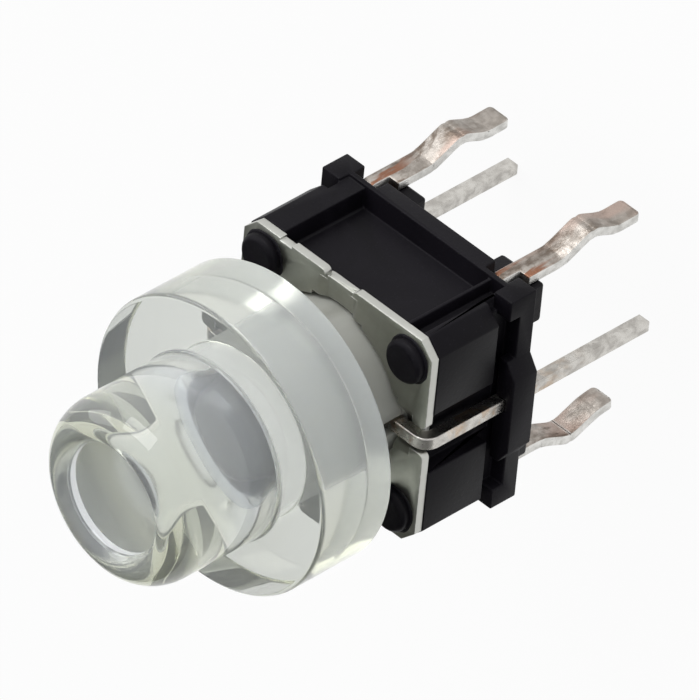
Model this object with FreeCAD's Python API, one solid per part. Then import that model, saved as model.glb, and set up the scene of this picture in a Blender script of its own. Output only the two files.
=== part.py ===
import FreeCAD, Part
import math
import os

# Illuminated tactile switch, in millimetres. The origin is the centre of the four feet on the
# board's face, +Z points up through the button, and the four solder terminals stand in two rows
# along Y, one row at each side in X. The light's two leads run out along X.

# Moulded housing
body_length = 6.65          # over the two sides that carry the light's leads, X
body_width = 6.30           # over the two panelled sides, Y
body_chamfer = 0.42         # the four upright corners
foot_height = 0.95          # board face to the underside of the flange
flange_thickness = 0.50
flange_lip_x = 0.015        # how far the flange stands out past the body on each side
flange_lip_y = 0.10
housing_top_z = 4.15        # the face that the cover plate lies on
corner_block_height = 0.35  # the flange's four corners rise this far above its face
corner_block_length = 0.60
pillar_width = 1.15         # upright left at each end of a side panel
panel_depth = 0.60          # how far a side panel lies behind the body's outer face
panel_corner_radius = 0.08
relief_depth_x = 0.44       # the body is relieved above the flange on the two sides with leads,
relief_depth_y = 0.38       # round the corner blocks,
relief_height = 0.35        # and this far above those blocks
post_groove_inset = 0.605   # an upright groove beside one corner on each panelled side
post_groove_width = 0.45
post_groove_depth = 0.38
lead_channel_half_width = 0.92
lead_channel_depth = 0.45
well_radius = 0.65          # inside corners of the square well under the button
underside_z = 0.60          # the floor is thicker between the feet
underside_inset_x = 0.62
underside_inset_y = 0.80
support_hole_radius = 0.28  # left in the underside by the pins that held the strips in the mould
support_hole_y = 0.95

# Feet, whose place is given by how far in from the body's sides they lie
foot_inset_x = 0.525
foot_length = 1.45
foot_width = 1.13
foot_chamfer = 0.15

# Bump on the flange that each light lead passes through
bump_reach = 0.30           # past the flange's own edge
bump_height = 0.78          # from the flange's underside
bump_long_side = 1.32       # along Y from the lead, to the left of it seen from outside
bump_short_side = 0.90
bump_shoulder = 0.45

# Heat-staked rivets that hold the cover plate
stake_inset_x = 0.775       # in from the body's sides
stake_inset_y = 0.81
stake_shank_radius = 0.40
stake_head_radius = 0.59
stake_head_height = 0.30
stake_head_bevel = 0.10

# Formed cover plate
plate_thickness = 0.24
plate_hole_gap = 0.10       # round the neck
plate_inset = 0.02          # the plate's outline lies this far inside the body's
plate_bend_radius = 0.18    # to the middle of the sheet
plate_corner_radius = 0.15  # corners of the plate where a channel opens in its edge
shallow_half_width = 0.48   # the shallow channels over the panelled sides
shallow_depth = 0.12
shallow_slope = 0.16
shallow_edge_inset = 0.22   # a shallow channel stops this far short of the body's side
tab_mark_near = 1.67        # where the plate was cut from its carrier strip, along X
tab_mark_far = 2.08
tab_mark_depth = 0.08
deep_near_wall = 0.25       # the deep channels that the light's leads cross the plate in,
deep_far_wall = 0.55        # from the lead's middle to the wall on each side of it

# Contact strips and their solder terminals, all of one sheet
strip_thickness = 0.25
strip_width = 0.70
strip_middle_z = 1.16
terminal_inset_x = 1.025    # middle of a terminal, in from the body's sides
terminal_inset_y = 0.32     # the same where it runs down its foot
terminal_full_z = 0.50      # above this a terminal has only half its width
terminal_narrow_back = 0.27 # and so has its strip, from this far inside the terminal's middle
terminal_bend_radius = 0.25
terminal_tip_round = 0.13
front_straight_z = -0.70    # the crimps of the two terminals at +Y: heights, and reach past the root
front_crest_z = -1.66
front_crest_reach = 0.46
front_waist_z = -2.45
front_waist_reach = 0.11
front_tip_z = -3.26
front_tip_reach = 0.13
back_straight_z = -0.60     # and of the two at -Y
back_crest_z = -1.60
back_crest_reach = 0.44
back_waist_z = -2.50
back_waist_reach = 0.06
back_tip_z = -3.02
back_tip_reach = 0.00
rebate_side = 0.05          # the flange is rebated from below round each terminal's root
rebate_back = 0.17          # inside the terminal's middle
rebate_lip = 0.14           # left of the flange above a rebate
ring_rise = 0.12            # the outer contact's ring is embossed this far
ring_width = 0.65           # the outer contact's open ring, which the dome stands on
ring_well_gap = 0.10        # between the ring and the well's wall
ring_arm_half_width = 1.00  # of the arm between the ring and its rail
ring_open_angle = 50.0      # half the ring's gap, at the centre contact's tongue
tongue_half_width = 0.40
contact_pad_radius = 0.60
contact_bump_radius = 0.42
contact_bump_bevel = 0.08

# Snap dome
dome_ring_overlap = 0.10    # of the ring left bare outside the dome
dome_height = 0.40
dome_thickness = 0.08
dome_rim_height = 0.05
dome_rim_width = 0.20

# Plunger
neck_body_wall = 0.90       # from the neck to the body's nearer sides
neck_wall = 0.45
guide_corner_radius = 0.60  # corners of the square guide under the plate
guide_height = 1.90
plunger_floor = 0.60
nub_radius = 0.70
nub_bevel = 0.15
travel = 0.25

# Clear cap
cap_rear_z = 6.11
disc_radius = 4.00
disc_height = 2.14
disc_edge_bevel = 0.08
button_radius = 2.50
button_height = 3.55
button_rim_round = 0.55
dish_radius = 1.50
dish_depth = 0.22
socket_depth = 1.94

# Light-emitting diode
led_base_z = 4.62
led_flange_step = 0.20      # the flange stands out past the barrel
led_flange_height = 0.70
led_height = 4.90
lead_cover = 0.05           # epoxy outside a lead
lead_size = 0.36            # square wire
lead_edge_round = 0.05
lead_run_z = 4.21           # middle of a lead where it crosses the plate
lead_inset = 0.135          # middle of a lead, in from the body's side that it runs down
lead_bend_radius = 0.30
anode_tip_z = -4.88
cathode_tip_z = -3.20
anvil_foot_z = 5.60
anvil_low_z = 6.15
anvil_top_z = 6.55
cup_height = 0.45
cup_base_radius = 0.50
cup_rim_radius = 0.62
cup_pocket_depth = 0.28
cup_pocket_floor_radius = 0.28
cup_pocket_mouth_radius = 0.48
post_gap = 0.30             # between the anode's flag and the cathode's anvil
post_flag_height = 0.75
chip_size = 0.30
chip_height = 0.15
bond_wire_radius = 0.03
bond_wire_rise = 0.35

# Clearances
insert_gap = 0.02           # round metal that is moulded into plastic
seat_gap = 0.02             # between faces that press on each other
guide_gap = 0.05            # the plunger's square guide in its well
cap_gap = 0.03              # the neck in the cap's socket
led_gap = 0.10              # the light's flange in the neck
bore_gap = 0.15             # the light in the cap's bore
lead_gap = 0.05             # round a light lead where it passes a moving or formed piece
plate_gap = 0.03            # the plate's formed channels in the housing
foot_gap = 0.025            # between a terminal and its foot

# Sizes that follow
half_x = body_length / 2
half_y = body_width / 2
flange_top_z = foot_height + flange_thickness
flange_half_x = half_x + flange_lip_x
flange_half_y = half_y + flange_lip_y
panel_half_x = half_x - pillar_width
panel_y = half_y - panel_depth
channel_x = half_x - lead_channel_depth
plate_top_z = housing_top_z + plate_thickness
bump_top_z = foot_height + bump_height
relief_top_z = flange_top_z + corner_block_height + relief_height
post_groove_x = half_x - post_groove_inset
foot_outer_x = half_x - foot_inset_x
foot_inner_x = foot_outer_x - foot_length
terminal_x = half_x - terminal_inset_x
terminal_root_y = half_y - terminal_inset_y
foot_outer_y = terminal_root_y - strip_thickness / 2 - foot_gap
foot_inner_y = foot_outer_y - foot_width
terminal_narrow_y = terminal_root_y - terminal_narrow_back
front_crimp = [
    (0, front_straight_z), (front_crest_reach, front_crest_z), (front_waist_reach, front_waist_z),
    (front_tip_reach, front_tip_z),
]
back_crimp = [
    (0, back_straight_z), (back_crest_reach, back_crest_z), (back_waist_reach, back_waist_z),
    (back_tip_reach, back_tip_z),
]
stake_x = half_x - stake_inset_x
stake_y = half_y - stake_inset_y
lead_side_x = half_x - lead_inset
neck_radius = min(half_x, half_y) - neck_body_wall
neck_bore_radius = neck_radius - neck_wall
led_flange_radius = neck_bore_radius - led_gap
led_radius = led_flange_radius - led_flange_step
led_lead_x = led_radius - lead_cover - lead_size / 2
plate_hole_radius = neck_radius + plate_hole_gap
well_half = neck_radius + guide_gap
ring_outer_radius = well_half - ring_well_gap
ring_inner_radius = ring_outer_radius - ring_width
dome_radius = ring_outer_radius - dome_ring_overlap
well_floor_z = strip_middle_z + strip_thickness / 2
ring_top_z = well_floor_z + ring_rise
dome_top_z = ring_top_z + dome_height
contact_bump_z = dome_top_z - dome_thickness - travel
guide_top_z = housing_top_z - seat_gap
guide_low_z = guide_top_z - guide_height
neck_top_z = cap_rear_z + socket_depth
disc_front_z = cap_rear_z + disc_height
button_front_z = disc_front_z + button_height
lead_low_z = lead_run_z - lead_size / 2
lead_high_z = lead_run_z + lead_size / 2
deep_floor_z = lead_low_z - lead_gap
led_dome_z = led_base_z + led_height - led_radius


def box(x0, x1, y0, y1, z0, z1):
    corner = FreeCAD.Vector(min(x0, x1), min(y0, y1), z0)
    return Part.makeBox(abs(x1 - x0), abs(y1 - y0), z1 - z0, corner)


def cylinder(radius, z0, z1, x=0.0, y=0.0):
    return Part.makeCylinder(radius, z1 - z0, FreeCAD.Vector(x, y, z0))


def cone(radius_low, radius_high, z0, z1, x=0.0, y=0.0):
    return Part.makeCone(radius_low, radius_high, z1 - z0, FreeCAD.Vector(x, y, z0))


def bevelled_cylinder(radius, z0, z1, bevel, x=0.0, y=0.0):
    """A cylinder whose top edge is bevelled, or whose lower edge is where bevel is negative."""
    solid = cylinder(radius, z0, z1, x, y)
    end = z1 if bevel > 0 else z0
    edge = [e for e in solid.Edges if e.BoundBox.ZMin > end - 1e-6 and e.BoundBox.ZMax < end + 1e-6]
    return solid.makeChamfer(abs(bevel), edge)


def prism(points, z0, z1):
    """An upright prism on a closed outline of (x, y) points."""
    loop = [FreeCAD.Vector(x, y, z0) for x, y in points]
    face = Part.Face(Part.makePolygon(loop + loop[:1]))
    return face.extrude(FreeCAD.Vector(0, 0, z1 - z0))


def round_upright_edges(solid, radius):
    """Rounds every edge that runs along Z."""
    up = FreeCAD.Vector(0, 0, 1)
    upright = [e for e in solid.Edges if e.tangentAt(e.FirstParameter).cross(up).Length < 1e-6]
    return solid.makeFillet(radius, upright)


def square_post(half, corner_radius, z0, z1):
    return round_upright_edges(box(-half, half, -half, half, z0, z1), corner_radius)


def chamfered_outline(hx, hy, c):
    return [
        (hx, -hy + c), (hx, hy - c), (hx - c, hy), (-hx + c, hy),
        (-hx, hy - c), (-hx, -hy + c), (-hx + c, -hy), (hx - c, -hy),
    ]


def revolved(edges):
    """A solid turned about Z from a closed chain of edges in the XZ plane."""
    face = Part.Face(Part.Wire(edges))
    return face.revolve(FreeCAD.Vector(0, 0, 0), FreeCAD.Vector(0, 0, 1), 360)


def line_xz(a, b):
    return Part.makeLine(FreeCAD.Vector(a[0], 0, a[1]), FreeCAD.Vector(b[0], 0, b[1]))


def arc_xz(a, middle, b):
    at = [FreeCAD.Vector(p[0], 0, p[1]) for p in (a, middle, b)]
    return Part.Arc(at[0], at[1], at[2]).toShape()


def quarter_xz(a, b, centre):
    """The arc from a to b round a centre, a and b being a quarter turn or less apart."""
    mx, mz = (a[0] + b[0]) / 2 - centre[0], (a[1] + b[1]) / 2 - centre[1]
    k = math.hypot(a[0] - centre[0], a[1] - centre[1]) / math.hypot(mx, mz)
    return arc_xz(a, (centre[0] + mx * k, centre[1] + mz * k), b)


def sheet_side(path, bend_radius, shift):
    """One face line of a bent sheet: the path moved to its left by shift, as lines and arcs."""
    pieces = []
    start = None
    for i, point in enumerate(path):
        here = FreeCAD.Vector(point[0], point[1], 0)
        if i > 0:
            before = (here - FreeCAD.Vector(path[i - 1][0], path[i - 1][1], 0)).normalize()
            left_before = FreeCAD.Vector(-before.y, before.x, 0)
        if i < len(path) - 1:
            after = (FreeCAD.Vector(path[i + 1][0], path[i + 1][1], 0) - here).normalize()
            left_after = FreeCAD.Vector(-after.y, after.x, 0)
        if i == 0:
            start = here + left_after * shift
            continue
        if i == len(path) - 1:
            pieces.append(("line", start, here + left_before * shift))
            continue
        turn = math.atan2(before.x * after.y - before.y * after.x, before.dot(after))
        side = math.copysign(1.0, turn)
        cut_back = bend_radius * math.tan(abs(turn) / 2)
        bend_in = here - before * cut_back
        bend_out = here + after * cut_back
        centre = bend_in + left_before * (side * bend_radius)
        outward = (here - centre).normalize()
        first = bend_in + left_before * shift
        last = bend_out + left_after * shift
        pieces.append(("line", start, first))
        pieces.append(("arc", first, centre + outward * (bend_radius - side * shift), last))
        start = last
    return pieces


def bent_sheet(path, bend_radius, thickness, place, sweep):
    """A sheet that follows a path in one plane. place puts a path point in space, sweep is its width."""
    edges = []
    ends = []
    for shift in (thickness / 2, -thickness / 2):
        pieces = sheet_side(path, bend_radius, shift)
        ends.append((place(pieces[0][1]), place(pieces[-1][-1])))
        for piece in pieces:
            at = [place(p) for p in piece[1:]]
            edges.append(Part.makeLine(*at) if piece[0] == "line" else Part.Arc(*at).toShape())
    edges.append(Part.makeLine(ends[0][0], ends[1][0]))
    edges.append(Part.makeLine(ends[0][1], ends[1][1]))
    wire = Part.Wire(Part.__sortEdges__(edges))
    return Part.Face(wire).extrude(sweep)


def terminal(side, x, grow):
    """A solder terminal: out from its strip's rail under the flange, down its foot and to its tip."""
    crimp = front_crimp if side > 0 else back_crimp
    path = [(terminal_narrow_y - strip_width, strip_middle_z), (terminal_root_y, strip_middle_z)]
    path += [(terminal_root_y + reach, z) for reach, z in crimp]
    half = strip_width / 2 + grow
    leg = bent_sheet(
        path, terminal_bend_radius, strip_thickness + 2 * grow,
        lambda p: FreeCAD.Vector(x - half, side * p.x, p.y), FreeCAD.Vector(2 * half, 0, 0),
    )
    tip = [
        e for e in leg.Edges
        if e.BoundBox.ZMax < crimp[-1][1] + strip_thickness and e.BoundBox.XLength < 1e-6
        and e.BoundBox.YLength > strip_thickness / 2 and e.BoundBox.ZLength < strip_thickness / 2
    ]
    away = side * (x + grow), side * (x + strip_width)
    notch = box(side * away[0], side * away[1], side * (terminal_narrow_y + grow), side * (half_y + 1),
                terminal_full_z + grow, flange_top_z)
    return leg.makeFillet(terminal_tip_round, tip).cut(notch)


def strip_with_terminals(x, grow):
    """The rail of a contact strip with a terminal at each end."""
    half = strip_width / 2 + grow
    rail_end = terminal_narrow_y - strip_width / 2
    rail = box(x - half, x + half, -rail_end, rail_end, strip_middle_z - strip_thickness / 2 - grow,
               strip_middle_z + strip_thickness / 2 + grow)
    return rail.fuse([terminal(1, x, grow), terminal(-1, x, grow)])


def outer_contact(grow=0.0):
    """The strip whose open ring the dome's rim stands on."""
    strip = strip_with_terminals(-terminal_x, grow)
    low, high = ring_top_z - strip_thickness - grow, ring_top_z + grow
    ring = cylinder(ring_outer_radius + grow, low, high).cut(cylinder(ring_inner_radius - grow, low, high))
    half_angle = math.radians(ring_open_angle)
    tip = grow / math.sin(half_angle)
    reach = ring_outer_radius + 1
    spread = (reach - tip) * math.tan(half_angle)
    mouth = prism([(tip, 0), (reach, -spread), (reach, spread)], low, high)
    arm = box(-terminal_x + strip_width / 2, -(ring_inner_radius + ring_outer_radius) / 2,
              -ring_arm_half_width - grow, ring_arm_half_width + grow, low, high)
    return strip.fuse([ring.cut(mouth), arm]).removeSplitter()


def centre_contact(grow=0.0):
    """The strip whose tongue carries the raised point under the dome's middle."""
    strip = strip_with_terminals(terminal_x, grow)
    low, high = strip_middle_z - strip_thickness / 2 - grow, strip_middle_z + strip_thickness / 2 + grow
    half = tongue_half_width + grow
    tongue = box(0, terminal_x, -half, half, low, high)
    pad = cylinder(contact_pad_radius + grow, low, high)
    bump = bevelled_cylinder(contact_bump_radius, low, contact_bump_z, contact_bump_bevel)
    return strip.fuse([tongue, pad, bump]).removeSplitter()


def flange_bump(side):
    """The block on the flange's edge that a light lead goes down through."""
    edge = flange_half_x - bump_reach
    out = flange_half_x + bump_reach
    outline = [
        (edge, -bump_long_side - bump_shoulder), (flange_half_x, -bump_long_side - bump_shoulder),
        (out, -bump_long_side), (out, bump_short_side),
        (flange_half_x, bump_short_side + bump_shoulder), (edge, bump_short_side + bump_shoulder),
    ]
    return prism([(side * x, side * y) for x, y in outline], foot_height, bump_top_z)


def foot(sx, sy):
    block = box(sx * foot_inner_x, sx * foot_outer_x, sy * foot_inner_y, sy * foot_outer_y, 0, flange_top_z)
    sole = [e for e in block.Edges if e.BoundBox.ZMax < 1e-6]
    return block.makeChamfer(foot_chamfer, sole)


def side_panel(side):
    """The recess in a panelled side, between its two corner pillars."""
    tool = box(-panel_half_x, panel_half_x, side * panel_y, side * (half_y + 1), flange_top_z, housing_top_z + 1)
    inner = [
        e for e in tool.Edges
        if e.BoundBox.ZLength > 1 and abs(abs(e.CenterOfMass.y) - panel_y) < 1e-6
    ]
    return tool.makeFillet(panel_corner_radius, inner)


def reliefs(side):
    """What is cut from the body above the flange: along a side with a lead, and round its corner blocks."""
    tools = [box(
        side * (half_x - relief_depth_x), side * (half_x + 1), -half_y - 1, half_y + 1,
        flange_top_z, relief_top_z,
    )]
    for sy in (1, -1):
        tools.append(box(
            side * (flange_half_x - corner_block_length), side * (half_x + 1),
            sy * (half_y - relief_depth_y), sy * (half_y + 1), flange_top_z, relief_top_z,
        ))
    tools.append(box(
        side * post_groove_x, side * (post_groove_x - post_groove_width),
        side * (half_y - post_groove_depth), side * (half_y + 1), flange_top_z, housing_top_z,
    ))
    return tools


def stake(sx, sy):
    shank = cylinder(stake_shank_radius, housing_top_z - 0.2, plate_top_z, sx * stake_x, sy * stake_y)
    head = bevelled_cylinder(stake_head_radius, plate_top_z, plate_top_z + stake_head_height, stake_head_bevel,
                             sx * stake_x, sy * stake_y)
    return shank.fuse(head)


def housing():
    """The moulded base: body, flange, feet and the stakes that rivet the plate down."""
    body = prism(chamfered_outline(half_x, half_y, body_chamfer), foot_height, housing_top_z)
    for side in (1, -1):
        body = body.cut(side_panel(side))
        y = lead_channel_half_width
        body = body.cut(box(side * channel_x, side * (half_x + 1), -y, y, bump_top_z, housing_top_z + 1))
        body = body.cut(reliefs(side))
    flange = box(-flange_half_x, flange_half_x, -flange_half_y, flange_half_y, foot_height, flange_top_z)
    added = [flange, flange_bump(1), flange_bump(-1)]
    corners = [(1, 1), (-1, 1), (-1, -1), (1, -1)]
    for sx, sy in corners:
        added.append(foot(sx, sy))
        added.append(box(
            sx * (flange_half_x - corner_block_length), sx * flange_half_x,
            sy * (flange_half_y - corner_block_length), sy * flange_half_y,
            foot_height, flange_top_z + corner_block_height,
        ))
        added.append(stake(sx, sy))
    under_x, under_y = half_x - underside_inset_x, half_y - underside_inset_y
    added.append(box(-under_x, under_x, -under_y, under_y, underside_z, foot_height + 0.01))
    solid = body.fuse(added)
    cuts = [
        square_post(well_half, well_radius, well_floor_z, housing_top_z + 0.001),
        outer_contact(insert_gap), centre_contact(insert_gap),
    ]
    rebate_x = strip_width / 2 + rebate_side
    rebate_y = terminal_root_y - rebate_back
    for side in (1, -1):
        for x in (-terminal_x, terminal_x):
            cuts.append(box(
                x - rebate_x, x + rebate_x, side * rebate_y, side * (flange_half_y + 1),
                foot_height - 0.1, flange_top_z - rebate_lip,
            ))
            cuts.append(cylinder(support_hole_radius, underside_z - 0.1, strip_middle_z, x, side * support_hole_y))
        hole = lead_size / 2 + insert_gap
        cuts.append(box(
            side * (lead_side_x - hole), side * (lead_side_x + hole), -hole, hole,
            foot_height - 0.1, bump_top_z + 0.1,
        ))
        room = plate_thickness / 2 + plate_bend_radius
        cuts.append(box(
            side * (well_half - 0.5), side * (half_x + 1), -side * (deep_near_wall + room),
            side * (deep_far_wall + room), deep_floor_z - plate_thickness - plate_gap, housing_top_z + 0.001,
        ))
        shallow = shallow_half_width + shallow_slope + plate_bend_radius / 2
        shallow_z = housing_top_z - shallow_depth - plate_gap
        cuts.append(box(-shallow, shallow, side * (well_half - 0.3), side * (panel_y + 0.1),
                        shallow_z, housing_top_z + 0.001))
    return solid.cut(cuts).removeSplitter()


def mouth_corners(plate, side, hx, hy):
    """The plate's upright edges where a deep and a shallow channel open in its outline."""
    at = [
        (side * hx, -side * deep_near_wall), (side * hx, side * deep_far_wall),
        (-shallow_half_width, side * hy), (shallow_half_width, side * hy),
    ]
    return [
        e for e in plate.Edges
        if e.BoundBox.ZLength > plate_thickness / 2
        and any(math.hypot(e.CenterOfMass.x - x, e.CenterOfMass.y - y) < 1e-4 for x, y in at)
    ]


def cover_plate():
    """One steel sheet: two deep channels for the light's leads and two shallow ones across them."""
    hx, hy = half_x - plate_inset, half_y - plate_inset
    flat = prism(chamfered_outline(hx, hy, body_chamfer), housing_top_z, plate_top_z)
    middle_z = housing_top_z + plate_thickness / 2
    deep_end_x = channel_x - plate_gap
    near, far = deep_near_wall + plate_thickness / 2, deep_far_wall + plate_thickness / 2
    ledge = plate_bend_radius + plate_thickness / 2
    floor_z = deep_floor_z - plate_thickness / 2
    deep_path = [
        (-near - ledge, middle_z), (-near, middle_z), (-near, floor_z),
        (far, floor_z), (far, middle_z), (far + ledge, middle_z),
    ]
    foot_x = shallow_half_width + shallow_slope
    ledge_x = foot_x + plate_thickness
    low_z = middle_z - shallow_depth
    shallow_path = [
        (-ledge_x, middle_z), (-foot_x, middle_z), (-shallow_half_width, low_z),
        (shallow_half_width, low_z), (foot_x, middle_z), (ledge_x, middle_z),
    ]
    shallow_end_y = half_y - shallow_edge_inset
    cuts, channels = [], []
    for side in (1, -1):
        cuts.append(box(0, side * deep_end_x, -side * (near + ledge), side * (far + ledge),
                        housing_top_z, plate_top_z))
        cuts.append(box(side * deep_end_x, side * (half_x + 1), -side * deep_near_wall, side * deep_far_wall,
                        housing_top_z, plate_top_z))
        cuts.append(box(-ledge_x, ledge_x, 0, side * shallow_end_y, housing_top_z, plate_top_z))
        cuts.append(box(-shallow_half_width, shallow_half_width, side * shallow_end_y, side * (half_y + 1),
                        housing_top_z, plate_top_z))
        cuts.append(box(-side * tab_mark_near, -side * tab_mark_far, side * (hy - tab_mark_depth),
                        side * (half_y + 1), housing_top_z, plate_top_z))
        channels.append(bent_sheet(
            deep_path, plate_bend_radius, plate_thickness,
            lambda p: FreeCAD.Vector(side * well_half, side * p.x, p.y),
            FreeCAD.Vector(side * (deep_end_x - well_half), 0, 0),
        ))
        channels.append(bent_sheet(
            shallow_path, plate_bend_radius, plate_thickness,
            lambda p: FreeCAD.Vector(p.x, side * well_half, p.y),
            FreeCAD.Vector(0, side * (shallow_end_y - well_half), 0),
        ))
    flat = flat.cut(cuts)
    corners = mouth_corners(flat, 1, hx, hy) + mouth_corners(flat, -1, hx, hy)
    plate = flat.makeFillet(plate_corner_radius, corners).fuse(channels)
    holes = [cylinder(plate_hole_radius, housing_top_z - 1, plate_top_z + 1)]
    for sx in (1, -1):
        for sy in (1, -1):
            radius = stake_shank_radius + seat_gap
            holes.append(cylinder(radius, housing_top_z - 1, plate_top_z + 1, sx * stake_x, sy * stake_y))
    return plate.cut(holes).removeSplitter()


def snap_dome():
    """A thin spherical cap of spring steel standing on a narrow flat rim."""
    def sphere(rim_r, rim_z, top_z):
        """The point of the sphere through the rim and the top, halfway out."""
        rise = top_z - rim_z
        radius = (rim_r**2 + rise**2) / (2 * rise)
        r = rim_r / 2
        return r, top_z - radius + math.sqrt(radius**2 - r**2)

    z = ring_top_z
    rim_z = z + dome_rim_height
    inner_r = dome_radius - dome_rim_width
    under_z = dome_top_z - dome_thickness
    return revolved([
        line_xz((dome_radius, z), (dome_radius, rim_z)),
        arc_xz((dome_radius, rim_z), sphere(dome_radius, rim_z, dome_top_z), (0, dome_top_z)),
        line_xz((0, dome_top_z), (0, under_z)),
        arc_xz((0, under_z), sphere(inner_r, z, under_z), (inner_r, z)),
        line_xz((inner_r, z), (dome_radius, z)),
    ])


def plunger():
    """A white moulded cup: nub on the dome, square guide under the plate, round neck into the cap."""
    nub = bevelled_cylinder(nub_radius, dome_top_z + seat_gap, guide_low_z + 0.1, -nub_bevel)
    guide = square_post(neck_radius, guide_corner_radius, guide_low_z, guide_top_z)
    neck = cylinder(neck_radius, guide_top_z - 0.1, neck_top_z)
    solid = guide.fuse([nub, neck])
    solid = solid.cut(cylinder(neck_bore_radius, guide_low_z + plunger_floor, neck_top_z + 1))
    slot_y = lead_size / 2 + lead_gap
    for side in (1, -1):
        solid = solid.cut(box(
            side * neck_bore_radius * 0.9, side * (neck_radius + 1), -slot_y, slot_y,
            lead_low_z - lead_gap, lead_high_z + travel + lead_gap,
        ))
    return solid.removeSplitter()


def cap():
    """The clear cap: a thick disc with a rounded button, bored for the neck and the light."""
    socket_r = neck_radius + cap_gap
    bore_r = led_radius + bore_gap
    bore_dome_z = led_dome_z + travel
    front = button_front_z
    dish_sphere = (dish_radius**2 + dish_depth**2) / (2 * dish_depth)
    half = dish_radius / 2
    dish_half_z = front - dish_depth + dish_sphere - math.sqrt(dish_sphere**2 - half**2)
    e, r = disc_edge_bevel, button_rim_round
    profile = [
        line_xz((socket_r, cap_rear_z), (disc_radius - e, cap_rear_z)),
        line_xz((disc_radius - e, cap_rear_z), (disc_radius, cap_rear_z + e)),
        line_xz((disc_radius, cap_rear_z + e), (disc_radius, disc_front_z - e)),
        line_xz((disc_radius, disc_front_z - e), (disc_radius - e, disc_front_z)),
        line_xz((disc_radius - e, disc_front_z), (button_radius, disc_front_z)),
        line_xz((button_radius, disc_front_z), (button_radius, front - r)),
        quarter_xz((button_radius, front - r), (button_radius - r, front), (button_radius - r, front - r)),
        line_xz((button_radius - r, front), (dish_radius, front)),
        arc_xz((dish_radius, front), (half, dish_half_z), (0, front - dish_depth)),
        line_xz((0, front - dish_depth), (0, bore_dome_z + bore_r)),
        quarter_xz((0, bore_dome_z + bore_r), (bore_r, bore_dome_z), (0, bore_dome_z)),
        line_xz((bore_r, bore_dome_z), (bore_r, neck_top_z)),
        line_xz((bore_r, neck_top_z), (socket_r, neck_top_z)),
        line_xz((socket_r, neck_top_z), (socket_r, cap_rear_z)),
    ]
    return revolved(profile)


def led_lead(side, tip_z, grow=0.0):
    """A square lead: down from the light, out across the plate and down the body's side."""
    path = [
        (led_lead_x, led_base_z + led_flange_height), (led_lead_x, lead_run_z),
        (lead_side_x, lead_run_z), (lead_side_x, tip_z),
    ]
    half = lead_size / 2 + grow
    wire = bent_sheet(
        path, lead_bend_radius, lead_size + 2 * grow,
        lambda p: FreeCAD.Vector(side * p.x, -half, p.y), FreeCAD.Vector(0, 2 * half, 0),
    )
    if grow > 0:
        return wire
    return wire.makeFillet(lead_edge_round, [e for e in wire.Edges if e.BoundBox.YLength < 1e-6])


def upright_plate(points, grow=0.0):
    """A plate across Y, as thick as a lead, on an outline of (x, z) points."""
    half = lead_size / 2 + grow
    loop = [FreeCAD.Vector(x, -half, z) for x, z in points]
    face = Part.Face(Part.makePolygon(loop + loop[:1]))
    return face.extrude(FreeCAD.Vector(0, 2 * half, 0))


def led_cathode(grow=0.0):
    """The short lead, whose anvil carries the reflector cup under the lens."""
    outer = led_lead_x + lead_size / 2
    anvil = upright_plate([
        (outer, led_base_z + 0.3), (outer, anvil_top_z), (-cup_base_radius, anvil_top_z),
        (-cup_base_radius, anvil_low_z), (outer - lead_size, anvil_foot_z),
        (outer - lead_size, led_base_z + 0.3),
    ], grow)
    cup_top_z = anvil_top_z + cup_height
    cup = cone(cup_base_radius + grow, cup_rim_radius + grow, anvil_top_z - 0.05, cup_top_z)
    solid = led_lead(1, cathode_tip_z, grow).fuse([anvil, cup])
    pocket = cone(cup_pocket_floor_radius - grow, cup_pocket_mouth_radius - grow,
                  cup_top_z - cup_pocket_depth, cup_top_z + 0.001)
    return solid.cut(pocket).removeSplitter()


def led_anode(grow=0.0):
    """The long lead, with a small flag beside the cup for the bond wire."""
    outer = led_lead_x + lead_size / 2
    flag_x = cup_rim_radius + post_gap
    top_z = anvil_top_z + cup_height
    post = upright_plate([
        (-outer, led_base_z + 0.3), (-outer, top_z), (-flag_x, top_z),
        (-flag_x, top_z - post_flag_height), (-outer + lead_size, top_z - post_flag_height - 0.2),
        (-outer + lead_size, led_base_z + 0.3),
    ], grow)
    return led_lead(-1, anode_tip_z, grow).fuse(post).removeSplitter()


def led_chip():
    floor_z = anvil_top_z + cup_height - cup_pocket_depth
    half = chip_size / 2
    return box(-half, half, -half, half, floor_z, floor_z + chip_height)


def bond_wire(grow=0.0):
    """The thin arched wire from the chip's top to the anode's flag."""
    start = FreeCAD.Vector(0, 0, anvil_top_z + cup_height - cup_pocket_depth + chip_height)
    end = FreeCAD.Vector(-cup_rim_radius - post_gap - lead_size / 2, 0, anvil_top_z + cup_height)
    crest = (start + end) / 2 + FreeCAD.Vector(0, 0, bond_wire_rise)
    path = Part.Wire(Part.Arc(start, crest, end).toShape())
    edge = path.Edges[0]
    section = Part.Wire(Part.makeCircle(bond_wire_radius + grow, start, edge.tangentAt(edge.FirstParameter)))
    return path.makePipeShell([section], True, True)


def led_lens():
    """The clear epoxy body, cast round the tops of both leads."""
    body = cylinder(led_flange_radius, led_base_z, led_base_z + led_flange_height)
    barrel = cylinder(led_radius, led_base_z, led_dome_z)
    nose = Part.makeSphere(led_radius, FreeCAD.Vector(0, 0, led_dome_z))
    solid = body.fuse([barrel, nose])
    metal = [led_cathode(insert_gap), led_anode(insert_gap), led_chip(), bond_wire(insert_gap)]
    return solid.cut(metal).removeSplitter()


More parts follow.
